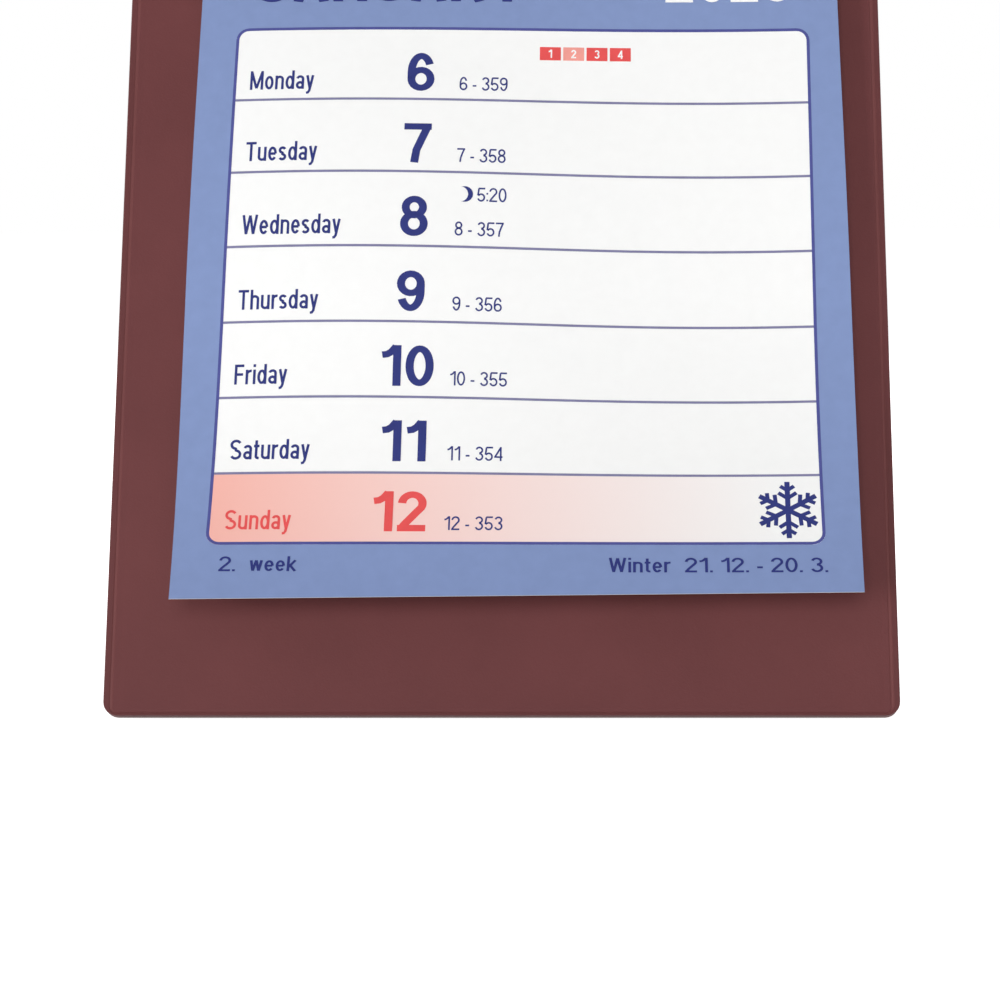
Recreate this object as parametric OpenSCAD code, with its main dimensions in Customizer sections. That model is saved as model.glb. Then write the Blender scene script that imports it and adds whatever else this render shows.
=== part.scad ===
// Tent desk calendar: a welded plastic stand of three stiffened panels, carrying a tear-off
// block of weekly leaves. The stand's front faces -Y, +Z is up, and the origin lies on the desk
// under the ridge, midway across the stand.

/* [Stand] */
// Width of the three panels
panel_w = 130; // [100:1:180]
// Slant length of the front panel, from the ridge axis to its lower edge
panel_len = 150; // [140:1:200]
// Lean of the front and rear panels from the vertical, in degrees
lean = 20; // [14:0.5:28]
// Corner radius of the free lower edges
corner_r = 2.3; // [1:0.1:6]
// Thickness of each plastic skin
skin_t = 0.5; // [0.3:0.05:0.8]
// Thickness of the greyboard stiffeners
board_t = 1.6; // [1:0.1:2.5]
// Width of the welded rim round each stiffener
rim_w = 3; // [2.2:0.1:5]
// Play between a stiffener and the rim round it
board_play = 0.2; // [0.1:0.05:0.5]

/* [Weld line] */
// Distance of the weld line from the panel's edge
weld_inset = 1.2; // [0.8:0.1:1.6]
// Width of the weld line
weld_w = 0.5; // [0.3:0.05:0.6]
// Depth of the weld line
weld_depth = 0.15; // [0.05:0.05:0.2]

/* [Fold lines] */
// Half of the gap between the two inner faces at the ridge axis
ridge_gap = 0.1; // [0.05:0.05:0.5]
// Clearance between the ridge web and the rear panel
ridge_clear = 0.3; // [0.2:0.05:1]
// Clearance round the bead of the base fold
bead_clear = 0.1; // [0.1:0.05:0.4]
// Spare room between the rear and base stiffened cores beyond the fold's mitre
mitre_clear = 0.6; // [0.4:0.1:2]
// Gap between the base's free edge and the front panel
base_gap = 1.5; // [1:0.1:4]

/* [Block] */
// Width of the leaves and of the backing card
leaf_w = 110; // [80:1:120]
// Length of a leaf, with the stub under the header rail
leaf_len = 129.7; // [110:0.1:136]
// Thickness of a leaf
leaf_t = 0.08; // [0.05:0.01:0.12]
// Air between two leaves
leaf_air = 0.02; // [0.01:0.01:0.05]
// Air behind the front leaf
front_air = 0.3; // [0.2:0.05:1]
// Distance of the block's top edge below the ridge axis
block_drop = 6; // [3:0.5:10]
// Sideways offset of the block from the stand's middle
block_shift = 2.9; // [-4:0.1:4]
// Length of the backing card
card_len = 118; // [90:1:122]
// Thickness of the backing card
card_t = 0.5; // [0.3:0.05:1]

/* [Leaf flare] */
// Distance below the ridge axis at which the leaves begin to curl outward
flare_start = 80; // [60:1:100]
// Radius of the curl at the front leaf
flare_r = 140; // [110:1:300]

/* [Header rail and tape] */
// Height of the tin header rail
rail_h = 8; // [5:0.5:12]
// Thickness of the rail's tin
rail_t = 0.3; // [0.2:0.05:0.4]
// Radius of the stiffening bead pressed along the rail's front
rail_bead_r = 0.7; // [0.4:0.1:1.2]
// Gap between the rail's lower edge and the hinged leaf
tear_gap = 0.3; // [0.2:0.05:1]
// Thickness of the double-sided tape
tape_t = 0.35; // [0.35:0.05:1]
// Width of each tape strip
tape_w = 12; // [6:1:20]
// Distance of the tape strips from the card's edges
tape_inset = 5; // [2:0.5:10]

/* [Hidden] */
$fn = 64;
arc_fn = 720;
right_angle = 90;

// Weekly leaves left in each month, from the front of the block to its back
MONTHS = ["january", "february", "march", "april", "may", "june",
    "july", "august", "september", "october", "november", "december"];
WEEKS = [3, 4, 5, 4, 4, 5, 4, 4, 5, 4, 4, 5];
function weeks_before(month) = month == 0 ? 0 : weeks_before(month - 1) + WEEKS[month - 1];
leaf_count = weeks_before(len(WEEKS));
leaf_pitch = leaf_t + leaf_air;

// Panel build-up, measured outward from the inner face
panel_t = 2 * skin_t + board_t;
ridge_r = ridge_gap + panel_t;
ridge_z = panel_len * cos(lean) - ridge_gap * sin(lean);

// Base fold: the bead lies against the outer faces of the rear panel and of the base
bead_r = skin_t;
bead_n = ridge_r - bead_r;
bead_u = (ridge_z + bead_n * sin(lean) - bead_r) / cos(lean);
bead_y = bead_u * sin(lean) + bead_n * cos(lean);
fold_angle = right_angle - lean;
core_back = (panel_t - bead_r) / tan(fold_angle / 2) + mitre_clear;
skin_back = bead_r + bead_clear;
front_foot_y = -(ridge_z - panel_t) * tan(lean) - ridge_gap / cos(lean);
base_len = bead_y - front_foot_y - base_gap;

// Block build-up, measured outward from the ridge axis along the front panel's normal
card_n = ridge_r + tape_t;
stack_n = card_n + card_t + leaf_air;
stub_n = stack_n + leaf_count * leaf_pitch;
rail_n = stub_n + leaf_pitch;
front_leaf_n = stub_n - leaf_air + front_air;
rail_end = block_drop + rail_h;
flare_len = leaf_len + block_drop - flare_start;
flare_n = front_leaf_n + leaf_t + flare_r;

PVC = [0.42, 0.255, 0.255];
GREYBOARD = [0.55, 0.53, 0.5];
CARD = [0.72, 0.68, 0.6];
PAPER = [0.93, 0.93, 0.9];
BLUE = [0.51, 0.59, 0.79];
TIN = [0.75, 0.76, 0.78];
TAPE = [0.9, 0.9, 0.85];

// Panel frame: X across, Y up the panel from its fold axis, Z outward from the axis
module on_front() {
    translate([0, 0, ridge_z])
        rotate([right_angle - lean, 0, 0])
            children();
}

module on_rear() {
    mirror([0, 1, 0])
        on_front()
            children();
}

module on_base() {
    translate([0, bead_y, panel_t])
        mirror([0, 0, 1])
            children();
}

// Panel outline from start to finish below the fold, drawn in by inset, with a round free edge
module panel_outline(start, finish, inset, free_r) {
    half = panel_w / 2 - inset;
    low = -(finish - inset);
    high = -(start + inset);
    r = max(free_r - inset, 0);
    translate([-half, low + r])
        square([2 * half, high - low - r]);
    if (r > 0) {
        translate([-half + r, low])
            square([2 * (half - r), r]);
        for (side = [-1, 1])
            translate([side * (half - r), low + r])
                circle(r);
    }
}

module outer_skin(start, finish, free_r) {
    difference() {
        linear_extrude(skin_t)
            panel_outline(start, finish, 0, free_r);
        translate([0, 0, skin_t - weld_depth])
            linear_extrude(skin_t)
                difference() {
                    panel_outline(start, finish, weld_inset, free_r);
                    panel_outline(start, finish, weld_inset + weld_w, free_r);
                }
    }
}

module stiffener(start, finish) {
    linear_extrude(board_t)
        panel_outline(start, finish, rim_w + board_play, 0);
}

module inner_skin(start, finish, free_r) {
    difference() {
        linear_extrude(skin_t + board_t)
            panel_outline(start, finish, 0, free_r);
        translate([0, 0, skin_t])
            linear_extrude(panel_t)
                panel_outline(start, finish, rim_w, 0);
    }
}

// Front panel
module front_outer_skin() {
    color(PVC)
        on_front()
            translate([0, 0, ridge_r - skin_t])
                outer_skin(0, panel_len, corner_r);
}

module front_board() {
    color(GREYBOARD)
        on_front()
            translate([0, 0, ridge_gap + skin_t])
                stiffener(ridge_clear, panel_len);
}

module front_inner_skin() {
    color(PVC)
        on_front()
            translate([0, 0, ridge_gap])
                inner_skin(ridge_clear, panel_len, corner_r);
}

module ridge_web() {
    color(PVC)
        translate([0, 0, ridge_z])
            rotate([0, right_angle, 0])
                rotate([0, 0, right_angle + lean])
                    rotate_extrude(angle = 2 * fold_angle)
                        translate([ridge_r - skin_t, -panel_w / 2])
                            square([skin_t, panel_w]);
}

// Rear panel
module rear_outer_skin() {
    color(PVC)
        on_rear()
            translate([0, 0, ridge_r - skin_t])
                outer_skin(ridge_clear, bead_u - skin_back, 0);
}

module rear_board() {
    color(GREYBOARD)
        on_rear()
            translate([0, 0, ridge_gap + skin_t])
                stiffener(ridge_clear, bead_u - core_back);
}

module rear_inner_skin() {
    color(PVC)
        on_rear()
            translate([0, 0, ridge_gap])
                inner_skin(ridge_clear, bead_u - core_back, 0);
}

module base_hinge_web() {
    color(PVC)
        translate([-panel_w / 2, bead_y, bead_r])
            rotate([0, right_angle, 0])
                cylinder(h = panel_w, r = bead_r);
}

// Base
module base_outer_skin() {
    color(PVC)
        on_base()
            translate([0, 0, panel_t - skin_t])
                outer_skin(skin_back, base_len, corner_r);
}

module base_board() {
    color(GREYBOARD)
        on_base()
            translate([0, 0, skin_t])
                stiffener(core_back, base_len);
}

module base_inner_skin() {
    color(PVC)
        on_base()
            inner_skin(core_back, base_len, corner_r);
}

// Block: a profile in the plane of Y and Z, run across the block's width
module across_block(width) {
    on_front()
        translate([block_shift - width / 2, 0, 0])
            rotate([right_angle, 0, right_angle])
                linear_extrude(width)
                    children();
}

module tape_strips() {
    color(TAPE)
        for (top = [rail_end + tape_inset, block_drop + card_len - tape_inset - tape_w])
            across_block(leaf_w - 2 * tape_inset)
                translate([-top - tape_w, ridge_r])
                    square([tape_w, tape_t]);
}

module backing_card() {
    color(CARD)
        across_block(leaf_w)
            translate([-block_drop - card_len, card_n])
                square([card_len, card_t]);
}

module header_rail() {
    color(TIN)
        across_block(leaf_w)
            difference() {
                union() {
                    translate([-rail_end, card_n - rail_t])
                        square([rail_h + rail_t, rail_n - card_n + 2 * rail_t]);
                    translate([-block_drop - rail_h / 2, rail_n + rail_t - rail_bead_r / 2])
                        circle(rail_bead_r);
                }
                translate([-rail_end - rail_t, card_n])
                    square([rail_h + rail_t, rail_n - card_n]);
            }
}

// Leaf profile from start downward, its back face at height back, straight and then curled
module leaf_profile(start, back) {
    r = flare_n - back;
    sweep = flare_len * 180 / (PI * r);
    reach = r + flare_len;
    translate([-flare_start, back])
        square([flare_start - start, leaf_t]);
    translate([-flare_start, flare_n])
        intersection() {
            difference() {
                circle(r, $fn = arc_fn);
                circle(r - leaf_t, $fn = arc_fn);
            }
            polygon([[0, 0], [0, -reach], [-reach * sin(sweep), -reach * cos(sweep)]]);
        }
}

module month_leaves(month) {
    first = weeks_before(month);
    color(PAPER)
        for (week = [first : first + WEEKS[month] - 1])
            across_block(leaf_w)
                leaf_profile(block_drop, stack_n + (leaf_count - 1 - week) * leaf_pitch);
}

module front_leaf_stub() {
    color(BLUE)
        across_block(leaf_w)
            translate([-rail_end, stub_n])
                square([rail_h, leaf_t]);
}

module front_leaf() {
    color(BLUE)
        across_block(leaf_w)
            leaf_profile(rail_end + tear_gap, front_leaf_n);
}

front_outer_skin();
front_board();
front_inner_skin();
ridge_web();
rear_outer_skin();
rear_board();
rear_inner_skin();
base_hinge_web();
base_outer_skin();
base_board();
base_inner_skin();
tape_strips();
backing_card();
header_rail();
for (month = [0 : len(MONTHS) - 1])
    month_leaves(month);
front_leaf_stub();
front_leaf();
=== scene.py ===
"""Looks of the tent desk calendar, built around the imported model. Sizes are in millimetres."""
import math

import bpy
import numpy as np
from mathutils import Matrix, Vector


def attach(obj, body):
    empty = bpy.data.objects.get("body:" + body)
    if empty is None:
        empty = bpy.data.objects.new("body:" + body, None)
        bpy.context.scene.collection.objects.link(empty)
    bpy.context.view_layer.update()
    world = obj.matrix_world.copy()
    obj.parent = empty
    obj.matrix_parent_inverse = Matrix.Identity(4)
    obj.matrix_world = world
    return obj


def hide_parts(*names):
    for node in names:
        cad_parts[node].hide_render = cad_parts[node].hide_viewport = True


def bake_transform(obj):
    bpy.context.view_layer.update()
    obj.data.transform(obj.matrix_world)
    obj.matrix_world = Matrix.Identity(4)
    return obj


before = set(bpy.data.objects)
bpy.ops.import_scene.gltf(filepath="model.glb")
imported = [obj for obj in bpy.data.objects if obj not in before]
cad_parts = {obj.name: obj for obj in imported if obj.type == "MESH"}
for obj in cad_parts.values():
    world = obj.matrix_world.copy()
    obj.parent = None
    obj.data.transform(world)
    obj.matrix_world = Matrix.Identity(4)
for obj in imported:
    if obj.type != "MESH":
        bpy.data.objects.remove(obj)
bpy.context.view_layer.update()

# Driving sizes of the stand
MM = 0.001
LEAN = math.radians(20)
PANEL_W = 130.0
PANEL_LEN = 150.0
BOARD_T = 1.6
SKIN_T = 0.5
CORNER_R = 2.3
RIDGE_GAP = 0.1
RIDGE_CLEAR = 0.3
BEAD_CLEAR = 0.1
MITRE_CLEAR = 0.6
BASE_GAP = 1.5

# Driving sizes of the block
LEAF_W = 110.0
LEAF_LEN = 129.7
LEAF_T = 0.08
LEAF_AIR = 0.02
FRONT_AIR = 0.3
BLOCK_DROP = 6.0
BLOCK_SHIFT = 2.9
TAPE_T = 0.35
CARD_T = 0.5
RAIL_H = 8.0
RAIL_T = 0.3
TEAR_GAP = 0.3
FLARE_START = 80.0
FLARE_R = 140.0
# Weekly leaves behind the front one, month by month
WEEKS = {"january": 3, "february": 4, "march": 5, "april": 4, "may": 4, "june": 5, "july": 4,
         "august": 4, "september": 5, "october": 4, "november": 4, "december": 5}

# Derived sizes of the stand, as in its own build-up
PANEL_T = 2 * SKIN_T + BOARD_T
RIDGE_R = RIDGE_GAP + PANEL_T
CORE_FACE = RIDGE_R - SKIN_T
RIDGE_Z = PANEL_LEN * math.cos(LEAN) - RIDGE_GAP * math.sin(LEAN)
BEAD_N = RIDGE_R - SKIN_T
BEAD_U = (RIDGE_Z + BEAD_N * math.sin(LEAN) - SKIN_T) / math.cos(LEAN)
BEAD_Y = BEAD_U * math.sin(LEAN) + BEAD_N * math.cos(LEAN)
CORE_BACK = (PANEL_T - SKIN_T) / math.tan((math.pi / 2 - LEAN) / 2) + MITRE_CLEAR
SKIN_BACK = SKIN_T + BEAD_CLEAR
FRONT_FOOT_Y = -(RIDGE_Z - PANEL_T) * math.tan(LEAN) - RIDGE_GAP / math.cos(LEAN)
BASE_LEN = BEAD_Y - FRONT_FOOT_Y - BASE_GAP

# Derived sizes of the block, measured outward from the ridge axis along the front panel's normal
LEAF_PITCH = LEAF_T + LEAF_AIR
CARD_BACK = RIDGE_R + TAPE_T
CARD_FACE = CARD_BACK + CARD_T
STACK_FACE = CARD_FACE + sum(WEEKS.values()) * LEAF_PITCH
FRONT_FACE = STACK_FACE + FRONT_AIR + LEAF_T
RAIL_FACE = STACK_FACE + LEAF_AIR + LEAF_PITCH
STACK_DEPTH = FRONT_FACE - CARD_FACE
RAIL_END = BLOCK_DROP + RAIL_H
LEAF_END = BLOCK_DROP + LEAF_LEN

# The front leaf's swell: it stands off the block in the left third and lies back on it in the right
SWELL = 2.3
SWELL_PEAK = 75.0
SWELL_END = LEAF_END + 1
SWELL_X = 4.7
SWELL_HALF_WAVE = 65.6

# The leaves' edges: narrower at the top, bowed outward below the middle, slanting and trimmed at the foot
LEAF_TAPER = 0.018
EDGE_BOW = 0.6
BOW_POWER = 1.6
EDGE_SLANT = 0.0105
EDGE_TRIM = 0.05
# How much shorter each leaf ends for its depth in the block, so that the cut edge leans back
STACK_RECEDE = 0.36
LEAF_SCATTER = 0.06
SCATTER_SEED = 7

# Print layout: the table on the leaf, its slight taper and shear, and the heights of the inks on the paper
TABLE_TOP = 32.76
TABLE_W = 98.5
TABLE_X = 3.1
TABLE_R = 2.2
ROW_H = 13.28
SUNDAY_H = 12.8
ROW_TOP = 0.32
LAST_ROW = 6
TABLE_H = ROW_TOP + LAST_ROW * ROW_H + SUNDAY_H
PRINT_TAPER = 0.0002
PRINT_SHEAR = -0.010
INK_T = 0.012
TABLE_LIFT = 0.02
WASH_LIFT = 0.035
INK_LIFT = 0.06

# Camera
CAMERA_AT = (12.77, -479.7, 80.92)
CAMERA_PITCH = math.radians(6.0)
CAMERA_YAW = math.radians(-1.6885)
CAMERA_ROLL = math.radians(-0.3145)
FOCAL_PX = 2655.0
FRAME_PX = 1000
SENSOR_MM = 36.0
CLIP_START = 0.01

# Colours, as sRGB steps of 255
BROWN = (107, 60, 61)
# Lighter brown painted along the weld groove as a highlight
WELD_HIGHLIGHT_BROWN = (116, 68, 68)
# Darker brown painted on the rounded rim of the skins as shade
RIM_SHADE_BROWN = (101, 56, 57)
BLUE = (131, 150, 196)
NAVY = (44, 52, 120)
RED = (232, 84, 84)
PALE_RED = (244, 160, 150)
LINE_BLUE = (127, 126, 161)
BORDER_BLUE = (78, 82, 148)
PINK = (250, 186, 174)
PAPER_WHITE = (253, 253, 252)
LEAF_BACK = (240, 240, 235)
GREY_BOARD = (140, 134, 126)
CARD_BUFF = (184, 172, 150)
TAPE_WHITE = (228, 228, 216)
TIN_GREY = (196, 198, 202)
FLOOR_WHITE = (240, 240, 240)

# Finish of the surfaces, with noises as scale per metre, detail and stretch
MOTTLE = (55, 4)
GRAIN = (2600, 3)
CLOUD = (420, 5)
FIBRE = (5200, 2, (1, 0.35, 0.35))
SPECKS = (1500, 6)
STREAKS = (900, 4, (0.04, 1, 1))
# The band of a noise that carries a colour, and how much darker and lighter the colour becomes
NOISE_LOW, NOISE_HIGH = 0.3, 0.7
PVC_SHADES = (0.95, 1.05)
BOARD_SHADES = (0.72, 1.15)
TIN_SHADES = (0.82, 1.05)
# Depths of the surface relief
GRAIN_DEPTH = 0.035
FIBRE_DEPTH = 0.008
SPECK_DEPTH = 0.03
STREAK_DEPTH = 0.006
# Roughness, from and to
PVC_ROUGH = (0.5, 0.64)
WELD_ROUGH = (0.4, 0.52)
RIM_ROUGH = (0.45, 0.58)
PAPER_ROUGH = (0.68, 0.82)
TIN_ROUGH = (0.14, 0.26)
BOARD_ROUGH = 0.9
PVC_SPECULAR = 0.12
PAPER_SPECULAR = 0.3
# Where across the last row its pink has faded to white, as a share of the table's width
PINK_END = 0.92


def linear(steps):
    """sRGB steps to a linear colour."""
    out = []
    for step in steps:
        c = step / 255
        out.append(c / 12.92 if c <= 0.04045 else ((c + 0.055) / 1.055) ** 2.4)
    return tuple(out)


# Places in the part's frame, in metres
def front_points(x, u, n):
    """Points on the front panel: x across, u down from the ridge, n outward from the ridge axis."""
    x, u, n = np.broadcast_arrays(np.asarray(x, float), u, n)
    y = -(u * math.sin(LEAN) + n * math.cos(LEAN))
    z = RIDGE_Z - u * math.cos(LEAN) + n * math.sin(LEAN)
    return np.stack([x, y, z], axis=-1) * MM


def rear_points(x, u, n):
    """Points on the rear panel, the mirror image of the front one."""
    return front_points(x, u, n) * np.array([1, -1, 1])


def base_points(x, u, n):
    """Points on the base: x across, u forward from its fold, n downward from its upper face."""
    x, u, n = np.broadcast_arrays(np.asarray(x, float), u, n)
    return np.stack([x, BEAD_Y - u, PANEL_T - n], axis=-1) * MM


def swell_at(x, s):
    """How far the front leaf stands off the block at a place on it."""
    rise = np.sin(np.pi / 2 * np.clip((s - RAIL_END) / (SWELL_PEAK - RAIL_END), 0, 1))
    fall = np.cos(np.pi / 2 * np.clip((s - SWELL_PEAK) / (SWELL_END - SWELL_PEAK), 0, 1)) ** 2
    across = 1 + np.sin(np.pi * (SWELL_X - x) / SWELL_HALF_WAVE)
    return SWELL * rise * fall * across


def leaf_points(x, s, lift, depth):
    """Points on a leaf: x across, s down its length, lift off its face, depth of the leaf in the block."""
    x, s, lift = np.broadcast_arrays(np.asarray(x, float), s, lift)
    r = FLARE_R + depth
    angle = np.maximum(s - FLARE_START, 0) / r
    off = lift + swell_at(x, s) * (1 - depth / STACK_DEPTH)
    n = FRONT_FACE - depth + r * (1 - np.cos(angle)) + off * np.cos(angle)
    u = np.minimum(s, FLARE_START) + r * np.sin(angle) - off * np.sin(angle)
    return front_points(x, u, n)


def print_points(a, b, lift, depth):
    """Points of the print: a across from the table's middle, b down from its top edge."""
    a, b = np.asarray(a, float), np.asarray(b, float)
    low = b - TABLE_H / 2
    x = TABLE_X + a * (1 + PRINT_TAPER * low) + PRINT_SHEAR * low
    return leaf_points(x, TABLE_TOP + b, lift, depth)


# Meshes
def add_mesh(name, points, faces, materials, face_slots=None, smooth=False):
    """A new object in the scene; face_slots says which material each face has."""
    mesh = bpy.data.meshes.new(name)
    mesh.from_pydata([tuple(p) for p in points], [], faces)
    for material in materials:
        mesh.materials.append(material)
    if face_slots is not None:
        mesh.polygons.foreach_set("material_index", face_slots)
    mesh.polygons.foreach_set("use_smooth", [smooth] * len(mesh.polygons))
    mesh.update()
    obj = bpy.data.objects.new(name, mesh)
    bpy.context.scene.collection.objects.link(obj)
    return obj


def grid_solid(top, bottom):
    """Closed thin solid between two grids of points: points, faces and which faces are the top's."""
    rows, cols = top.shape[:2]
    count = rows * cols
    points = np.concatenate([top.reshape(-1, 3), bottom.reshape(-1, 3)])
    faces, is_top = [], []
    for r in range(rows - 1):
        for c in range(cols - 1):
            i = r * cols + c
            quad = (i, i + cols, i + cols + 1, i + 1)
            faces.append(quad)
            faces.append(tuple(count + k for k in reversed(quad)))
            is_top += [True, False]
    rim = [c for c in range(cols)]
    rim += [r * cols + cols - 1 for r in range(1, rows)]
    rim += [(rows - 1) * cols + c for c in range(cols - 2, -1, -1)]
    rim += [r * cols for r in range(rows - 2, 0, -1)]
    for i, j in zip(rim, rim[1:] + rim[:1]):
        faces.append((i, j, count + j, count + i))
        is_top.append(False)
    return points, faces, is_top


class Shapes:
    """Collects closed solids into one mesh."""

    def __init__(self):
        self.points, self.faces, self.count = [], [], 0

    def add(self, points, faces):
        self.points.append(points)
        self.faces += [tuple(i + self.count for i in face) for face in faces]
        self.count += len(points)

    def make(self, name, materials, face_slots=None, smooth=False):
        return add_mesh(name, np.concatenate(self.points), self.faces, materials, face_slots, smooth)


def loops_solid(loops, capped=True):
    """Faces between rings of equal count, with a cap on the first and last ring if capped."""
    n = len(loops[0])
    faces = []
    for k in range(len(loops) - 1):
        for i in range(n):
            j = (i + 1) % n
            faces.append((k * n + i, k * n + j, (k + 1) * n + j, (k + 1) * n + i))
    if capped:
        faces.append(tuple(range(n - 1, -1, -1)))
        faces.append(tuple((len(loops) - 1) * n + i for i in range(n)))
    return np.concatenate(loops), faces


def turned_over(faces):
    """The same faces looking the other way."""
    return [tuple(reversed(face)) for face in faces]


# Materials
def new_material(name):
    """A material with its nodes, its links and its shader."""
    material = bpy.data.materials.new(name)
    material.use_nodes = True
    nodes, links = material.node_tree.nodes, material.node_tree.links
    return material, nodes, links, nodes["Principled BSDF"]


def object_noise(nodes, links, scale, detail, stretch=(1, 1, 1)):
    """A noise that stays with the object, as a factor from 0 to 1."""
    where = nodes.new("ShaderNodeTexCoord")
    spread = nodes.new("ShaderNodeMapping")
    spread.inputs["Scale"].default_value = stretch
    noise = nodes.new("ShaderNodeTexNoise")
    noise.inputs["Scale"].default_value = scale
    noise.inputs["Detail"].default_value = detail
    links.new(where.outputs["Object"], spread.inputs["Vector"])
    links.new(spread.outputs["Vector"], noise.inputs["Vector"])
    return noise.outputs["Fac"]


def colour_between(nodes, links, factor, dark, light, low=NOISE_LOW, high=NOISE_HIGH):
    """A colour that goes from dark to light as the factor goes from low to high."""
    ramp = nodes.new("ShaderNodeValToRGB")
    ramp.color_ramp.elements[0].position = low
    ramp.color_ramp.elements[1].position = high
    ramp.color_ramp.elements[0].color = (*dark, 1)
    ramp.color_ramp.elements[1].color = (*light, 1)
    links.new(factor, ramp.inputs["Fac"])
    return ramp.outputs["Color"]


def vary_colour(nodes, links, factor, shader, colour, dark, light):
    """Lets a noise carry the colour from a darker to a lighter share of itself."""
    darker = tuple(c * dark for c in linear(colour))
    lighter = tuple(c * light for c in linear(colour))
    tone = colour_between(nodes, links, factor, darker, lighter)
    links.new(tone, shader.inputs["Base Color"])


def roughness_from(nodes, links, factor, shader, low, high):
    spread = nodes.new("ShaderNodeMapRange")
    spread.inputs["To Min"].default_value = low
    spread.inputs["To Max"].default_value = high
    links.new(factor, spread.inputs["Value"])
    links.new(spread.outputs["Result"], shader.inputs["Roughness"])


def bump_from(nodes, links, factor, shader, depth_mm):
    bump = nodes.new("ShaderNodeBump")
    bump.inputs["Strength"].default_value = 1.0
    bump.inputs["Distance"].default_value = depth_mm * MM
    links.new(factor, bump.inputs["Height"])
    links.new(bump.outputs["Normal"], shader.inputs["Normal"])


def plastic(name, colour, rough):
    """Plasticised sheet: slow mottling, a fine pressed grain and a soft sheen."""
    material, nodes, links, shader = new_material(name)
    mottle = object_noise(nodes, links, *MOTTLE)
    grain = object_noise(nodes, links, *GRAIN)
    vary_colour(nodes, links, mottle, shader, colour, *PVC_SHADES)
    roughness_from(nodes, links, grain, shader, *rough)
    bump_from(nodes, links, grain, shader, GRAIN_DEPTH)
    shader.inputs["Specular IOR Level"].default_value = PVC_SPECULAR
    return material


def paper_surface(nodes, links, shader):
    """The fibres and the matt finish of paper."""
    fibre = object_noise(nodes, links, *FIBRE)
    roughness_from(nodes, links, fibre, shader, *PAPER_ROUGH)
    bump_from(nodes, links, fibre, shader, FIBRE_DEPTH)
    shader.inputs["Specular IOR Level"].default_value = PAPER_SPECULAR


def paper(name, colour, spread):
    """Paper or ink on paper, with a cloudy formation that varies its colour by spread."""
    material, nodes, links, shader = new_material(name)
    cloud = object_noise(nodes, links, *CLOUD)
    vary_colour(nodes, links, cloud, shader, colour, 1 - spread, 1 + spread)
    paper_surface(nodes, links, shader)
    return material


def pulp_board(name, colour):
    """Raw board: specks and fibres in a dull ground."""
    material, nodes, links, shader = new_material(name)
    specks = object_noise(nodes, links, *SPECKS)
    vary_colour(nodes, links, specks, shader, colour, *BOARD_SHADES)
    bump_from(nodes, links, specks, shader, SPECK_DEPTH)
    shader.inputs["Roughness"].default_value = BOARD_ROUGH
    return material


def tin_plate(name, colour):
    """Bright tin plate with rolling streaks along its length."""
    material, nodes, links, shader = new_material(name)
    streaks = object_noise(nodes, links, *STREAKS)
    vary_colour(nodes, links, streaks, shader, colour, *TIN_SHADES)
    roughness_from(nodes, links, streaks, shader, *TIN_ROUGH)
    bump_from(nodes, links, streaks, shader, STREAK_DEPTH)
    shader.inputs["Metallic"].default_value = 1.0
    return material


def sunday_tint(name):
    """Pink that fades to white from left to right across the last row."""
    material, nodes, links, shader = new_material(name)
    where = nodes.new("ShaderNodeTexCoord")
    split = nodes.new("ShaderNodeSeparateXYZ")
    spread = nodes.new("ShaderNodeMapRange")
    spread.inputs["From Min"].default_value = (TABLE_X - TABLE_W / 2) * MM
    spread.inputs["From Max"].default_value = (TABLE_X + TABLE_W / 2) * MM
    links.new(where.outputs["Object"], split.inputs["Vector"])
    links.new(split.outputs["X"], spread.inputs["Value"])
    across = spread.outputs["Result"]
    tone = colour_between(nodes, links, across, linear(PINK), linear(PAPER_WHITE), 0.0, PINK_END)
    links.new(tone, shader.inputs["Base Color"])
    paper_surface(nodes, links, shader)
    return material


pvc = plastic("brown_plastic", BROWN, PVC_ROUGH)
# The weld groove's plastic is the same brown with a painted highlight
pvc_weld_highlight = plastic("weld_highlight_plastic", WELD_HIGHLIGHT_BROWN, WELD_ROUGH)
# The rim's plastic is the same brown with painted shade
pvc_rim_shade = plastic("rim_shade_plastic", RIM_SHADE_BROWN, RIM_ROUGH)
blue_paper = paper("blue_print", BLUE, 0.025)
white_paper = paper("white_paper", PAPER_WHITE, 0.012)
back_paper = paper("leaf_paper", LEAF_BACK, 0.025)
navy_ink = paper("navy_ink", NAVY, 0.08)
red_ink = paper("red_ink", RED, 0.05)
pale_red_ink = paper("pale_red_ink", PALE_RED, 0.04)
line_ink = paper("line_ink", LINE_BLUE, 0.06)
border_ink = paper("border_ink", BORDER_BLUE, 0.06)
pink_wash = sunday_tint("sunday_wash")
greyboard = pulp_board("greyboard", GREY_BOARD)
buff_card = pulp_board("buff_card", CARD_BUFF)
tape_foam = paper("tape_foam", TAPE_WHITE, 0.05)
tin = tin_plate("tin_plate", TIN_GREY)

# Stand
CORNER_STEPS = 7
SHARP_R = 0.03
# Share of a section's inset at a free edge, where the weld runs close to the edge
FREE_SHARE = 0.3
# Section of a skin from its edge inward: inset from the edge, drop below the face, material
# Faces of the weld groove take the lighter brown, a painted highlight on a real groove
PLAIN, LIT_WELD, SHADED_RIM = 0, 1, 2
# Faces of the rounded rim take the darker brown, painted shade at the edge
SKIN_SECTION = [
    (0.00, SKIN_T, SHADED_RIM), (0.00, 0.24, SHADED_RIM), (0.05, 0.12, SHADED_RIM), (0.14, 0.04, SHADED_RIM), (0.28, 0.00, SHADED_RIM),
    (0.95, 0.00, SHADED_RIM), (1.12, 0.13, LIT_WELD), (1.30, 0.15, LIT_WELD), (1.46, 0.13, LIT_WELD), (1.62, 0.00, LIT_WELD),
    (1.80, 0.00, PLAIN), (2.60, 0.02, PLAIN), (3.40, 0.00, PLAIN), (3.80, 0.00, PLAIN)]
# The web over the ridge
RIDGE_STEPS = 36
FILM_COLS = 40
FILM_SINK = 0.01


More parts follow.
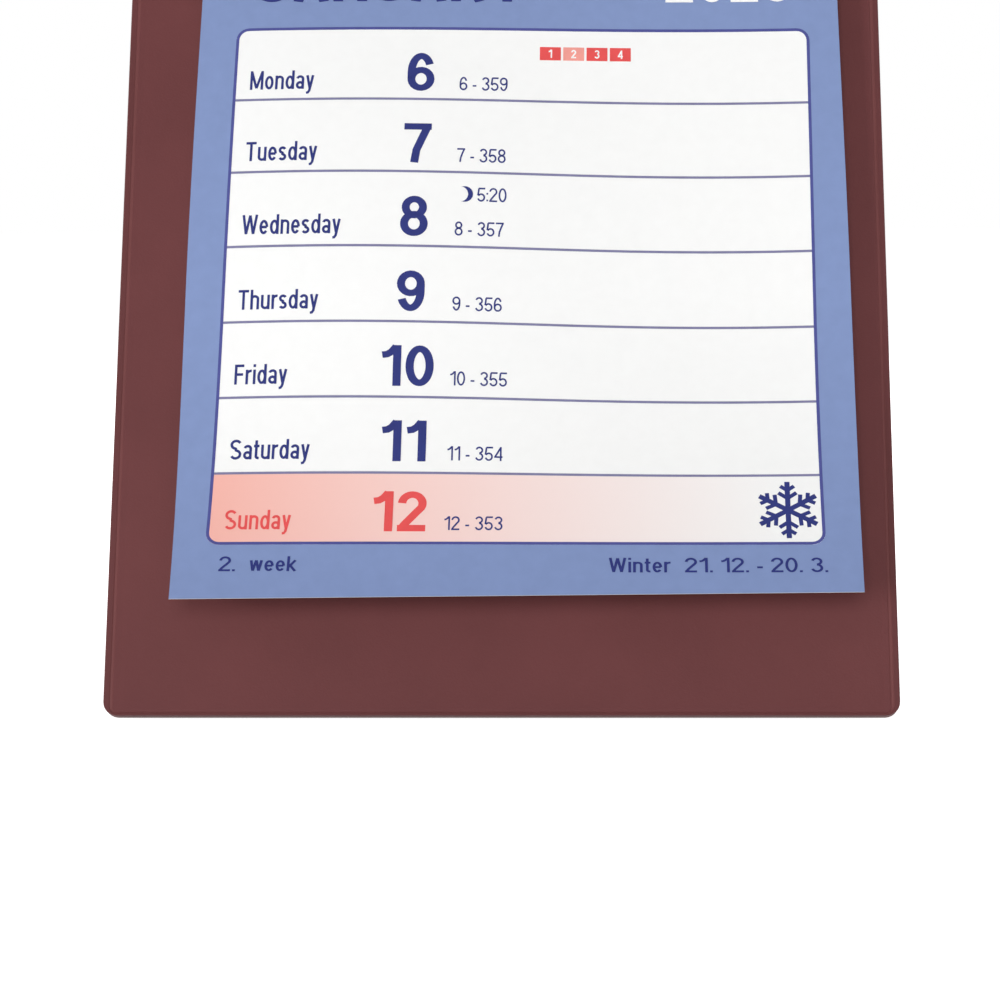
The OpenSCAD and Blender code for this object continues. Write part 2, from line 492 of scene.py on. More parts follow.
def panel_ring(start, finish, inset, free_r):
    """Outline of a panel drawn in by inset: square at its fold and round at its free edge."""
    half = PANEL_W / 2 - inset
    top, low = start + inset, finish - inset * (FREE_SHARE if free_r else 1)
    free = max(free_r - inset, SHARP_R)
    corners = ((half, top, SHARP_R, -90), (half, low, free, 0),
               (-half, low, free, 90), (-half, top, SHARP_R, 180))
    ring = []
    for cx, cu, r, first in corners:
        for k in range(CORNER_STEPS):
            t = math.radians(first + 90 * k / (CORNER_STEPS - 1))
            x = cx + math.copysign(r, -cx) + r * math.cos(t)
            u = cu + (r if cu == top else -r) + r * math.sin(t)
            ring.append((x, u))
    return np.array(ring)


def skin(name, node, body, place, start, finish, free_r, face, back):
    """One plastic skin: its section run round the panel's outline, from the back plane to the face."""
    outward = math.copysign(1, face - back)
    loops, slots = [], []
    for k, (inset, drop, kind) in enumerate(SKIN_SECTION):
        ring = panel_ring(start, finish, inset, free_r)
        height = back if k == 0 else face - outward * drop
        loops.append(place(ring[:, 0], ring[:, 1], height))
        if k:
            slots += [kind] * len(ring)
    points, faces = loops_solid(loops)
    slots += [PLAIN, PLAIN]
    if outward < 0:
        faces = turned_over(faces)
    obj = add_mesh(name, points, faces, [pvc, pvc_weld_highlight, pvc_rim_shade], slots)
    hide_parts(node)
    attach(obj, body)


def ridge_film():
    """The plastic web over the ridge, drawn as an arc round the ridge axis."""
    first, last = math.pi - LEAN, LEAN
    angles = np.linspace(first, last, RIDGE_STEPS)
    xs = np.linspace(-PANEL_W / 2, PANEL_W / 2, FILM_COLS)

    def arc(r):
        y = np.append(r * np.cos(angles), r * math.cos(last) + RIDGE_CLEAR * math.sin(LEAN))
        z = np.append(r * np.sin(angles), r * math.sin(last) - RIDGE_CLEAR * math.cos(LEAN))
        grid = np.zeros((len(y), FILM_COLS, 3))
        grid[..., 0] = xs
        grid[..., 1] = y[:, None]
        grid[..., 2] = RIDGE_Z + z[:, None]
        return grid * MM

    points, faces, _ = grid_solid(arc(RIDGE_R - FILM_SINK), arc(RIDGE_R - SKIN_T))
    film = add_mesh("ridge_film", points, turned_over(faces), [pvc], smooth=True)
    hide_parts("ridge_web")
    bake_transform(film)


skin("front_cover", "front_outer_skin", "front_panel", front_points,
     0, PANEL_LEN, CORNER_R, RIDGE_R, CORE_FACE)
skin("front_lining", "front_inner_skin", "front_panel", front_points,
     RIDGE_CLEAR, PANEL_LEN, CORNER_R, RIDGE_GAP, CORE_FACE)
skin("rear_cover", "rear_outer_skin", "rear_panel", rear_points,
     RIDGE_CLEAR, BEAD_U - SKIN_BACK, 0, RIDGE_R, CORE_FACE)
skin("rear_lining", "rear_inner_skin", "rear_panel", rear_points,
     RIDGE_CLEAR, BEAD_U - CORE_BACK, 0, RIDGE_GAP, CORE_FACE)
skin("base_cover", "base_outer_skin", "base", base_points,
     SKIN_BACK, BASE_LEN, CORNER_R, PANEL_T, PANEL_T - SKIN_T)
skin("base_lining", "base_inner_skin", "base", base_points,
     CORE_BACK, BASE_LEN, CORNER_R, 0, PANEL_T - SKIN_T)
ridge_film()

# Block
LEAF_ROWS, LEAF_COLS = 70, 60
STACK_ROWS, STACK_COLS = 30, 24
# Faces that meet at more than 60 degrees keep a crisp edge between them
CRISP_DOT = 0.5
# Tin rail: steps of a bend and of the bead, radius of a bend as a share of the depth, cut of the lip
BEND_STEPS = 6
BEAD_STEPS = 10
BEAD_R = 0.7
BEND_SHARE = 1 / 6
LIP_CUT = 0.1


def leaf_edges(s, jitter):
    """The left and right edge of a leaf at a place down its length."""
    down = np.clip(s / LEAF_END, 0, 1)
    half = LEAF_W / 2 * (1 - LEAF_TAPER * (1 - down)) + EDGE_BOW * np.sin(np.pi * down ** BOW_POWER)
    return BLOCK_SHIFT + jitter - half, BLOCK_SHIFT + jitter + half


def leaf_sheet(start, rows, cols, depth, jitter=0.0, trim=0.0):
    """A leaf of the block, from start to its slightly slanting lower edge."""
    t = np.linspace(0, 1, cols)[None, :]
    down = np.linspace(0, 1, rows)[:, None]
    left, right = leaf_edges(start + down * (LEAF_END - start), jitter)
    x = left + t * (right - left)
    end = LEAF_END - EDGE_TRIM - trim - EDGE_SLANT * (x - BLOCK_SHIFT + LEAF_W / 2)
    s = start + down * (end - start)
    return grid_solid(leaf_points(x, s, 0.0, depth), leaf_points(x, s, -LEAF_T, depth))


def mark_rim_crisp(obj):
    """Keeps the thin edge of a leaf crisp while its faces shade smoothly."""
    mesh = obj.data
    edge_faces = {}
    for polygon in mesh.polygons:
        for key in polygon.edge_keys:
            edge_faces.setdefault(key, []).append(polygon.normal)
    for edge in mesh.edges:
        normals = edge_faces.get(tuple(sorted(edge.vertices)), [])
        if len(normals) == 2 and normals[0].dot(normals[1]) < CRISP_DOT:
            edge.use_edge_sharp = True


def paper_sides(is_top):
    """Material numbers of a leaf's faces: 0 is the printed side and 1 is the plain paper."""
    return [0 if top else 1 for top in is_top]


def front_leaf():
    """The leaf that turns up about its tear line."""
    points, faces, is_top = leaf_sheet(RAIL_END + TEAR_GAP, LEAF_ROWS, LEAF_COLS, 0.0)
    leaf = add_mesh("week_leaf", points, faces, [blue_paper, back_paper], paper_sides(is_top), smooth=True)
    mark_rim_crisp(leaf)
    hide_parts("front_leaf")
    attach(leaf, "front_leaf")


def stack_leaves():
    """The leaves behind the front one, month by month, each a little out of line with the next."""
    scatter = np.random.default_rng(SCATTER_SEED)
    number = 0
    for month, weeks in WEEKS.items():
        shapes, slots = Shapes(), []
        for _ in range(weeks):
            depth = FRONT_FACE - STACK_FACE + number * LEAF_PITCH
            rows, cols = (LEAF_ROWS, LEAF_COLS) if number == 0 else (STACK_ROWS, STACK_COLS)
            jitter = scatter.normal(0, LEAF_SCATTER)
            trim = STACK_RECEDE * depth + abs(scatter.normal(0, LEAF_SCATTER))
            points, faces, is_top = leaf_sheet(BLOCK_DROP, rows, cols, depth, jitter, trim)
            shapes.add(points, faces)
            slots += paper_sides(is_top)
            number += 1
        month_piece = shapes.make(month + "_leaves", [blue_paper, back_paper], slots, smooth=True)
        mark_rim_crisp(month_piece)
        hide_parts("leaves_" + month)
        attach(month_piece, "front_panel")


def header_rail():
    """U-section tin rail with rolled bends and a pressed bead along its front."""
    back, face = CARD_BACK - RAIL_T, RAIL_FACE + RAIL_T
    outer_r = (RAIL_FACE - CARD_BACK) * BEND_SHARE
    inner_r = outer_r - RAIL_T
    bend_u = BLOCK_DROP - RAIL_T + outer_r
    bead_u = BLOCK_DROP + RAIL_H / 2

    def bend(cn, r, first, last):
        turn = np.radians(np.linspace(first, last, BEND_STEPS))
        return [(bend_u + r * math.cos(t), cn + r * math.sin(t)) for t in turn]

    rise = np.linspace(0, math.pi, BEAD_STEPS)
    section = [(RAIL_END, CARD_BACK), (RAIL_END, back)]
    section += bend(back + outer_r, outer_r, -90, -180)
    section += bend(face - outer_r, outer_r, 180, 90)
    section += [(bead_u - BEAD_R * math.cos(t), face + BEAD_R / 2 * math.sin(t)) for t in rise]
    section += [(RAIL_END - LIP_CUT, face), (RAIL_END, face - LIP_CUT), (RAIL_END, RAIL_FACE)]
    section += bend(face - outer_r, inner_r, 90, 180)
    section += bend(back + outer_r, inner_r, 180, 270)
    section = np.array(section)
    ends = (BLOCK_SHIFT - LEAF_W / 2, BLOCK_SHIFT + LEAF_W / 2)
    points, faces = loops_solid([front_points(x, section[:, 0], section[:, 1]) for x in ends])
    rail = add_mesh("tin_rail", points, faces, [tin])
    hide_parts("header_rail")
    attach(rail, "front_panel")


front_leaf()
stack_leaves()
header_rail()

# Pieces that keep the shape of the model
KEPT = {"base_hinge_web": pvc, "front_board": greyboard, "rear_board": greyboard, "base_board": greyboard,
        "backing_card": buff_card, "tape_strips": tape_foam, "front_leaf_stub": blue_paper}
for node, material in KEPT.items():
    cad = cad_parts[node]
    cad.data.materials.clear()
    cad.data.materials.append(material)


# Lettering, drawn with strokes of one width: sizes are in cap heights
X_HEIGHT = 0.73
GLYPH_GAP = 0.09
SWEEP_STEPS = 22


def prism(outline):
    """A flat solid of height 1 from an outline in (a, b)."""
    outline = np.asarray(outline, float)
    n = len(outline)
    high = np.column_stack([outline, np.full(n, 0.5)])
    low = np.column_stack([outline, np.full(n, -0.5)])
    faces = [tuple(range(n)), tuple(range(2 * n - 1, n - 1, -1))]
    faces += [(i, n + i, n + (i + 1) % n, (i + 1) % n) for i in range(n)]
    return np.concatenate([high, low]), faces


def bar(a0, b0, a1, b1, width):
    """A straight stroke of ink from one point to another."""
    along = np.array([a1 - a0, b1 - b0])
    side = np.array([-along[1], along[0]]) / np.linalg.norm(along) * width / 2
    start, end = np.array([a0, b0]), np.array([a1, b1])
    return prism([start - side, end - side, end + side, start + side])


def sweep(cx, cy, rx, ry, first, last, steps=SWEEP_STEPS):
    """Points along part of an ellipse, between two angles in degrees."""
    turn = np.radians(np.linspace(first, last, steps))
    return [(cx + rx * math.cos(t), cy + ry * math.sin(t)) for t in turn]


def stroke(path, width):
    """A stroke of even width along a path, as a flat solid of height 1."""
    path = np.asarray(path, float)
    along = np.gradient(path, axis=0)
    if np.allclose(path[0], path[-1]):
        along[0] = along[-1] = path[1] - path[-2]
    along /= np.linalg.norm(along, axis=1)[:, None]
    side = np.column_stack([-along[:, 1], along[:, 0]]) * width / 2
    grid = np.stack([path + side, path - side], axis=1)
    high = np.concatenate([grid, np.full((len(path), 2, 1), 0.5)], axis=2)
    low = np.concatenate([grid, np.full((len(path), 2, 1), -0.5)], axis=2)
    return grid_solid(high, low)[:2]


def tall_glyphs(w):
    """Width and centre lines of the numerals and capitals, for strokes of width w."""
    h, full = w / 2, 0.56
    left, right, low, top, mid = h, full - h, h, 1 - h, full / 2
    bowl = right - mid
    post = [(left, 0), (left, 1)]
    six = [[(left, low + 0.235)] + sweep(mid, 0.5, bowl, top - 0.5, 180, 28),
           sweep(mid, low + 0.235, bowl, 0.235, 0, 360)]
    return {
        "0": (full, [sweep(mid, 0.5, bowl, top - 0.5, 0, 360, 40)]),
        "1": (0.4, [[(0.4 - h, 0), (0.4 - h, 1)],
                    [(0.02, 0.76), (0.12, 0.775), (0.21, 0.84), (0.38 - h, 0.97)]]),
        "2": (full, [sweep(mid, top - 0.22, bowl, 0.22, 178, -28) + [(left + 0.09, 0.22), (left, low)],
                     [(0, low), (full - 0.01, low)]]),
        "3": (full, [sweep(mid, top - 0.2, bowl * 0.92, 0.2, 165, -90),
                     sweep(mid, low + 0.225, bowl, 0.225, 90, -165)]),
        "4": (full, [[(right - 0.06, 0), (right - 0.06, 1)], [(0, 0.28), (full, 0.28)],
                     [(left * 0.7, 0.26), (right - 0.07, top)]]),
        "5": (full, [[(left + 0.05, top), (right + 0.05, top)], [(left + 0.06, top), (left, 0.44)],
                     sweep(mid, low + 0.24, bowl, 0.24, 150, -162)]),
        "6": (full, six),
        "7": (full, [[(0, top), (full, top)],
                     [(right, top), (mid + 0.08, 0.6), (mid - 0.02, 0.32), (mid - 0.06, 0)]]),
        "8": (full, [sweep(mid, top - 0.2, bowl * 0.88, 0.2, 0, 360, 30),
                     sweep(mid, low + 0.23, bowl, 0.23, 0, 360, 30)]),
        "9": (full, [[(full - x, 1 - y) for x, y in line] for line in six]),
        "J": (full, [[(right, 1), (right, 0.3)] + sweep(mid, 0.3, bowl, 0.3 - low, 0, -175)]),
        "A": (full, [[(left * 0.8, 0), (mid, 0.97)], [(full - left * 0.8, 0), (mid, 0.97)],
                     [(0.14, 0.28), (0.42, 0.28)]]),
        "N": (full, [post, [(right, 0), (right, 1)], [(left, 0.97), (right, 0.03)]]),
        "U": (full, [[(left, 1), (left, 0.32)] + sweep(mid, 0.32, bowl, 0.32 - low, 180, 360)
                     + [(right, 1)]]),
        "R": (full, [post,
                     [(left, top), (mid, top)] + sweep(mid, 0.69, bowl, top - 0.69, 90, -90)
                     + [(left, 1.38 - top)],
                     [(mid, 0.46), (right, 0)]]),
        "Y": (full, [[(mid, 0), (mid, 0.46)], [(left * 0.7, 1), (mid, 0.44)],
                     [(full - left * 0.7, 1), (mid, 0.44)]]),
        "M": (0.68, [post, [(0.68 - h, 0), (0.68 - h, 1)], [(left, 0.97), (0.34, 0.08)],
                     [(0.68 - h, 0.97), (0.34, 0.08)]]),
        "T": (0.52, [[(0, top), (0.52, top)], [(0.26, 0), (0.26, 1)]]),
        "W": (0.8, [[(h, 1), (0.22, 0.03)], [(0.22, 0.03), (0.4, 0.97)], [(0.4, 0.97), (0.58, 0.03)],
                    [(0.58, 0.03), (0.8 - h, 1)]]),
        "F": (0.46, [post, [(left, top), (0.46, top)], [(left, 0.5), (0.42, 0.5)]]),
        "S": (full, [sweep(mid, 0.745, bowl, 0.255 - h, 25, 270)
                     + sweep(mid, 0.255, bowl, 0.255 - h, 90, -155)]),
    }


def small_glyphs(w):
    """Width and centre lines of the lower-case letters and marks, for strokes of width w."""
    h, x_top = w / 2, X_HEIGHT - w / 2
    half = X_HEIGHT / 2
    post, stem = [(h, 0), (h, 1)], [(h, 0), (h, X_HEIGHT)]
    arch = [(h, X_HEIGHT - 0.24)] + sweep(0.22, X_HEIGHT - 0.21, 0.22 - h, 0.21 - h, 180, 0)
    arch += [(0.44 - h, 0)]
    bowl = sweep(0.22, half, 0.22 - h, half - h, 0, 360)
    return {
        "a": (0.42, [[(0.42 - h, 0), (0.42 - h, X_HEIGHT - 0.2)]
                     + sweep(0.21, X_HEIGHT - 0.2, 0.21 - h, 0.2 - h, 0, 165),
                     sweep(0.21, 0.21, 0.21 - h, 0.21 - h, 0, 360)]),
        "d": (0.45, [bowl, [(0.45 - h, 0), (0.45 - h, 1)]]),
        "e": (0.44, [[(h, half), (0.44 - h, half)], sweep(0.22, half, 0.22 - h, half - h, 0, 322)]),
        "h": (0.44, [post, arch]),
        "i": (w, [stem, [(h, 0.86), (h, 1)]]),
        "k": (0.42, [post, [(h, 0.24), (0.39, X_HEIGHT)], [(0.16, 0.38), (0.4, 0)]]),
        "n": (0.44, [stem, arch]),
        "o": (0.44, [bowl]),
        "r": (0.28, [stem, sweep(0.26, X_HEIGHT - 0.24, 0.26 - h, 0.24 - h, 175, 80)]),
        "s": (0.4, [sweep(0.2, X_HEIGHT - 0.19, 0.2 - h, 0.19 - h, 25, 270)
                    + sweep(0.2, 0.19, 0.2 - h, 0.19 - h, 90, -155)]),
        "t": (0.27, [[(0.12, 0.95), (0.12, 0.15)] + sweep(0.25, 0.15, 0.13, 0.15 - h, 180, 275),
                     [(0, x_top), (0.27, x_top)]]),
        "u": (0.44, [[(0.44 - x, X_HEIGHT - y) for x, y in line] for line in (stem, arch)]),
        "w": (0.62, [[(h, X_HEIGHT), (0.17, 0.03)], [(0.17, 0.03), (0.31, X_HEIGHT)],
                     [(0.31, X_HEIGHT), (0.45, 0.03)], [(0.45, 0.03), (0.62 - h, X_HEIGHT)]]),
        "y": (0.42, [[(h, X_HEIGHT), (0.21, 0.04)],
                     [(0.42 - h, X_HEIGHT), (0.19, -0.1), (0.12, -0.2), (0.03, -0.21)]]),
        "-": (0.26, [[(0, 0.34), (0.26, 0.34)]]),
        ".": (w, [[(h, 0), (h, w)]]),
        ":": (w, [[(h, 0.04), (h, 0.04 + w)], [(h, 0.52), (h, 0.52 + w)]]),
        " ": (0.2, []),
    }


def lettering(w):
    """Lettering of one stroke width: the width and the glyphs drawn with it."""
    return w, {**tall_glyphs(w), **small_glyphs(w)}


def line_of(words, kind, align="left"):
    """A line of lettering as flat solids, its baseline at b = 0."""
    cap, (w, glyphs), stretch = kind
    starts = np.cumsum([0.0] + [glyphs[c][0] + GLYPH_GAP for c in words])
    length = starts[-1] - GLYPH_GAP
    shift = {"left": 0, "middle": length / 2, "right": length}[align]
    solids = []
    for c, start in zip(words, starts):
        for line in glyphs[c][1]:
            points, faces = stroke(line, w)
            points[:, 0] = (points[:, 0] + start - shift) * cap * stretch
            points[:, 1] *= -cap
            solids.append((points, faces))
    return solids


# Print
BOLD, MEDIUM, LIGHT = lettering(0.162), lettering(0.128), lettering(0.115)
# Kinds of lettering: cap height, strokes and stretch
NUMBER = (7.15, BOLD, 1.15)
NAME = (3.5, MEDIUM, 0.95)
NOTE = (2.5, LIGHT, 0.95)
BOX_DIGIT = (1.55, BOLD, 1.0)
WEEK = (2.75, MEDIUM, 1.22)
SEASON = (2.75, MEDIUM, 1.25)
MONTH = (7.2, BOLD, 1.45)
YEAR = (7.2, BOLD, 1.2)
# Places in the rows: across from the table's middle, and up from the line under the row
DAYS = ["Monday", "Tuesday", "Wednesday", "Thursday", "Friday", "Saturday", "Sunday"]
DAYS_IN_YEAR = 365
FRONT_MONDAY = 6
NEXT_MONDAY = FRONT_MONDAY + len(DAYS)
NUMBER_A, NAME_A, NOTE_A = -17.2, -46.4, -10.6
NUMBER_UP, NAME_UP, NOTE_UP = 1.5, 1.9, 1.75
# How far the columns drift to the left and the baselines rise from row to row
NUMBER_DRIFT, NOTE_DRIFT, ROW_LIFT = -0.22, -0.12, 0.1
# Small boxes in the first row, one of them pale
BOXES, PALE_BOX = 4, 1
BOX_A, BOX_B, BOX_W, BOX_H, BOX_GAP = 3.0, 3.5, 3.6, 2.45, 0.4
BOX_DIGIT_UP = 0.45
# Moon and its time of rising, in the third row
MOON_ROW, MOON_A, MOON_B, MOON_R = 2, -9.3, 3.9, 1.4
TIME_A, TIME_B = -7.2, 1.3
# The moon's outer arc, and the bite out of it in shares of its radius
MOON_TURN, MOON_STEPS = 1.9, 17
BITE_TURN, BITE_STEPS = 1.57, 13
BITE_BACK, BITE_A, BITE_B = 0.45, 0.86, 0.94
# Snow crystal in the last row, with widths and twigs in shares of its radius
STAR_A, STAR_UP, STAR_R = 43.5, 6.4, 5.2
STAR_ARMS, STAR_TURN = 6, 30
ARM_W, TWIG_W = 0.16, 0.125
# Where a pair of twigs leaves the arm, and its length
TWIGS = ((0.42, 0.34), (0.7, 0.26))
TWIG_TURN = math.radians(55)
# Lines under and over the table; the front leaf is for the second week of the year
FIRST_WEEK = 2
WEEK_A, WEEK_B = NAME_A - 0.3, TABLE_H + 4.9
SEASON_A, SEASON_B = 49.3, TABLE_H + 5.2
MONTH_A, YEAR_A, HEAD_B = -46.4, 46.3, -5.0
# Table
BORDER_W = 0.5
LINE_W = 0.42
CORNER_LEVELS = np.array([0, 0.02, 0.07, 0.15, 0.27, 0.42, 0.6, 0.8, 1.0])
TABLE_ROWS, TABLE_COLS = 64, 60
EDGE_PIECES = 40
# Inks in the order of their pieces
INKS = {"table": white_paper, "sunday": pink_wash, "navy": navy_ink, "red": red_ink, "pale": pale_red_ink,
        "rows": line_ink, "white": white_paper, "border": border_ink}


def crescent(a, b, r):
    """A waning moon."""
    outer_turn = np.linspace(-MOON_TURN, MOON_TURN, MOON_STEPS)
    inner_turn = np.linspace(BITE_TURN, -BITE_TURN, BITE_STEPS)
    outer = [(a + r * math.cos(t), b + r * math.sin(t)) for t in outer_turn]
    bite_a = a - BITE_BACK * r
    inner = [(bite_a + BITE_A * r * math.cos(t), b + BITE_B * r * math.sin(t)) for t in inner_turn]
    return prism(outer + inner)


def snow_star(a, b, r):
    """A six-armed snow crystal with two pairs of twigs on each arm."""
    strokes = []
    for arm in range(STAR_ARMS):
        t = math.radians(360 / STAR_ARMS * arm + STAR_TURN)
        ca, sa = math.cos(t), math.sin(t)
        strokes.append(bar(a, b, a + r * ca, b + r * sa, ARM_W * r))
        for out, twig in TWIGS:
            pa, pb = a + out * r * ca, b + out * r * sa
            for side in (-1, 1):
                tw = t + side * TWIG_TURN
                tip = (pa + twig * r * math.cos(tw), pb + twig * r * math.sin(tw))
                strokes.append(bar(pa, pb, *tip, TWIG_W * r))
    return strokes


class Ink:
    """Print in one colour on one leaf."""

    def __init__(self, depth):
        self.shapes, self.depth = Shapes(), depth

    def put(self, flat, a=0.0, b=0.0, lift=INK_LIFT):
        points, faces = flat
        placed = print_points(points[:, 0] + a, points[:, 1] + b, lift + points[:, 2] * INK_T, self.depth)
        self.shapes.add(placed, faces)

    def put_all(self, flats, a=0.0, b=0.0, lift=INK_LIFT):
        for flat in flats:
            self.put(flat, a, b, lift)

    def finish(self, name, material, body, slot):
        obj = self.shapes.make(name, [material])
        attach(obj, body)


def row_line(row):
    """Height of the line under a row of the table."""
    return ROW_TOP + row * ROW_H


def rounded_side(b, top_round):
    """How far the table's side draws in at height b, with round corners at its foot and maybe its top."""
    draw = np.zeros_like(b)
    for edge in (b, TABLE_H - b) if top_round else (TABLE_H - b,):
        near = np.clip(1 - edge / TABLE_R, 0, 1)
        draw = np.maximum(draw, TABLE_R * (1 - np.sqrt(1 - near ** 2)))
    return draw


def table_levels():
    """Heights of the table's rows of points, close together at the round corners."""
    corner = CORNER_LEVELS * TABLE_R
    straight = np.linspace(TABLE_R, TABLE_H - TABLE_R, TABLE_ROWS)[1:-1]
    return np.concatenate([corner, straight, (TABLE_H - corner)[::-1]])


def table_sheet(levels, top_round, lift, depth):
    """Part of the table's field, between the given heights."""
    half = TABLE_W / 2 - rounded_side(levels, top_round)
    a = half[:, None] * np.linspace(-1, 1, TABLE_COLS)[None, :]
    b = np.repeat(levels[:, None], TABLE_COLS, axis=1)
    return grid_solid(print_points(a, b, lift, depth), print_points(a, b, lift - INK_T, depth))[:2]


def densify(ring):
    """Splits the long straight runs of a closed outline into short steps."""
    out = []
    for p, q in zip(ring, np.roll(ring, -1, axis=0)):
        pieces = EDGE_PIECES if np.linalg.norm(q - p) > TABLE_R * 2 else 1
        out += [p + (q - p) * k / pieces for k in range(pieces)]
    return np.array(out)


def table_border():
    """The outer and the inner outline of the thin line round the table."""
    outlines = []
    for inset in (0.0, BORDER_W):
        half_a, half_b, r = TABLE_W / 2 - inset, TABLE_H / 2 - inset, TABLE_R - inset
        ring = []
        for ca, cb, first in ((1, -1, -90), (1, 1, 0), (-1, 1, 90), (-1, -1, 180)):
            for k in range(CORNER_STEPS):
                t = math.radians(first + 90 * k / (CORNER_STEPS - 1))
                ring.append((ca * (half_a - r) + r * math.cos(t), cb * (half_b - r) + r * math.sin(t)))
        outlines.append(densify(np.array(ring) + [0, TABLE_H / 2]))
    return outlines


def print_table(inks, depth):
    """The table's white field, the tint of its last row, its border and the lines between its rows."""
    levels = table_levels()
    inks["table"].shapes.add(*table_sheet(levels, True, TABLE_LIFT, depth))
    last = np.concatenate([[row_line(LAST_ROW)], levels[levels > row_line(LAST_ROW)]])
    inks["sunday"].shapes.add(*table_sheet(last, False, WASH_LIFT, depth))
    outer, inner = table_border()
    section = ((outer, TABLE_LIFT), (outer, INK_LIFT), (inner, INK_LIFT), (inner, TABLE_LIFT))
    rings = [print_points(ring[:, 0], ring[:, 1], lift, depth) for ring, lift in section]
    inks["border"].shapes.add(*loops_solid(rings + rings[:1], capped=False))
    for row in range(1, LAST_ROW + 1):
        a = np.linspace(-1, 1, TABLE_COLS)[None, :].repeat(2, axis=0) * (TABLE_W / 2 - BORDER_W)
        b = row_line(row) + np.array([[-LINE_W / 2], [LINE_W / 2]]) + np.zeros_like(a)
        top, low = (print_points(a, b, INK_LIFT + h, depth) for h in (0, -INK_T))
        inks["rows"].shapes.add(*grid_solid(top, low)[:2])


def print_days(inks, first_day):
    """The date, the weekday and the count of days past and left in each row."""
    for row, day in enumerate(DAYS):
        line = row_line(row + 1) if row < LAST_ROW else TABLE_H - BORDER_W / 2
        base = line - ROW_LIFT * row
        ink = inks["red"] if row == LAST_ROW else inks["navy"]
        date = first_day + row
        note = "%d - %d" % (date, DAYS_IN_YEAR - date)
        ink.put_all(line_of(str(date), NUMBER, "middle"), NUMBER_A + NUMBER_DRIFT * row, base - NUMBER_UP)
        ink.put_all(line_of(day, NAME), NAME_A, base - NAME_UP)
        inks["navy"].put_all(line_of(note, NOTE), NOTE_A + NOTE_DRIFT * row, base - NOTE_UP)


def print_marks(inks, first_day):
    """The moon, the small boxes, the snow crystal, and the lines under and over the table."""
    navy, white = inks["navy"], inks["white"]
    moon_b = row_line(MOON_ROW) + MOON_B
    navy.put(crescent(MOON_A, moon_b, MOON_R))
    navy.put_all(line_of("5:20", NOTE), TIME_A, moon_b + TIME_B)
    for k in range(BOXES):
        a, b = BOX_A + k * (BOX_W + BOX_GAP), BOX_B + BOX_H / 2
        inks["pale" if k == PALE_BOX else "red"].put(bar(a, b, a + BOX_W, b, BOX_H))
        digit = line_of(str(k + 1), BOX_DIGIT, "middle")
        white.put_all(digit, a + BOX_W / 2, BOX_B + BOX_H - BOX_DIGIT_UP, INK_LIFT + INK_T)
    navy.put_all(snow_star(STAR_A, TABLE_H - STAR_UP, STAR_R))
    navy.put_all(line_of("%d.  week" % (first_day // len(DAYS) + FIRST_WEEK), WEEK), WEEK_A, WEEK_B)
    navy.put_all(line_of("Winter  21. 12. - 20. 3.", SEASON, "right"), SEASON_A, SEASON_B)
    navy.put_all(line_of("JANUARY", MONTH), MONTH_A, HEAD_B)
    white.put_all(line_of("2025", YEAR, "right"), YEAR_A, HEAD_B)


def print_week(tag, body, slot, first_day, depth):
    """The print of one weekly leaf, one piece for each ink."""
    inks = {name: Ink(depth) for name in INKS}
    print_table(inks, depth)
    print_days(inks, first_day)
    print_marks(inks, first_day)
    for name, material in INKS.items():
        inks[name].finish(tag + "_" + name, material, body, slot)


print_week("print", "front_leaf", "printed_paper", FRONT_MONDAY, 0.0)
print_week("next_print", "front_panel", "paper", NEXT_MONDAY, FRONT_FACE - STACK_FACE)

# Studio, with sizes and places in metres
FLOOR_HALF = 20.0
FLOOR_Z = -0.0003
FLOOR_GLOW = 0.84
AMBIENT = 0.24
WHITE = (1, 1, 1, 1)
BLACK = (0, 0, 0, 1)
AIM = Vector((0, -0.03, 0.07))
# Lamps: azimuth and elevation in degrees, distance and size in metres, power in watts
LAMPS = {
    "key": (-1, 9.5, 0.95, 0.24, 3.35),
    "front_fill": (-37, 5.5, 2.0, 0.4, 12.0),
    "left_fill": (-65, 28, 1.0, 0.6, 0.1),
    "right_fill": (65, 28, 1.0, 0.6, 0.1),
    "left_side": (-114, 20, 1.0, 0.6, 3.2),
    "right_side": (114, 20, 1.0, 0.6, 3.2),
    "back_fill": (180, 38, 1.1, 0.8, 5.5),
}


def seen_rays(nodes, links):
    """1 for rays from the camera, from gloss and through glass, and 0 for the rays that light things."""
    path = nodes.new("ShaderNodeLightPath")
    first = nodes.new("ShaderNodeMath")
    first.operation = "MAXIMUM"
    second = nodes.new("ShaderNodeMath")
    second.operation = "MAXIMUM"
    links.new(path.outputs["Is Camera Ray"], first.inputs[0])
    links.new(path.outputs["Is Glossy Ray"], first.inputs[1])
    links.new(first.outputs["Value"], second.inputs[0])
    links.new(path.outputs["Is Transmission Ray"], second.inputs[1])
    return second.outputs["Value"]


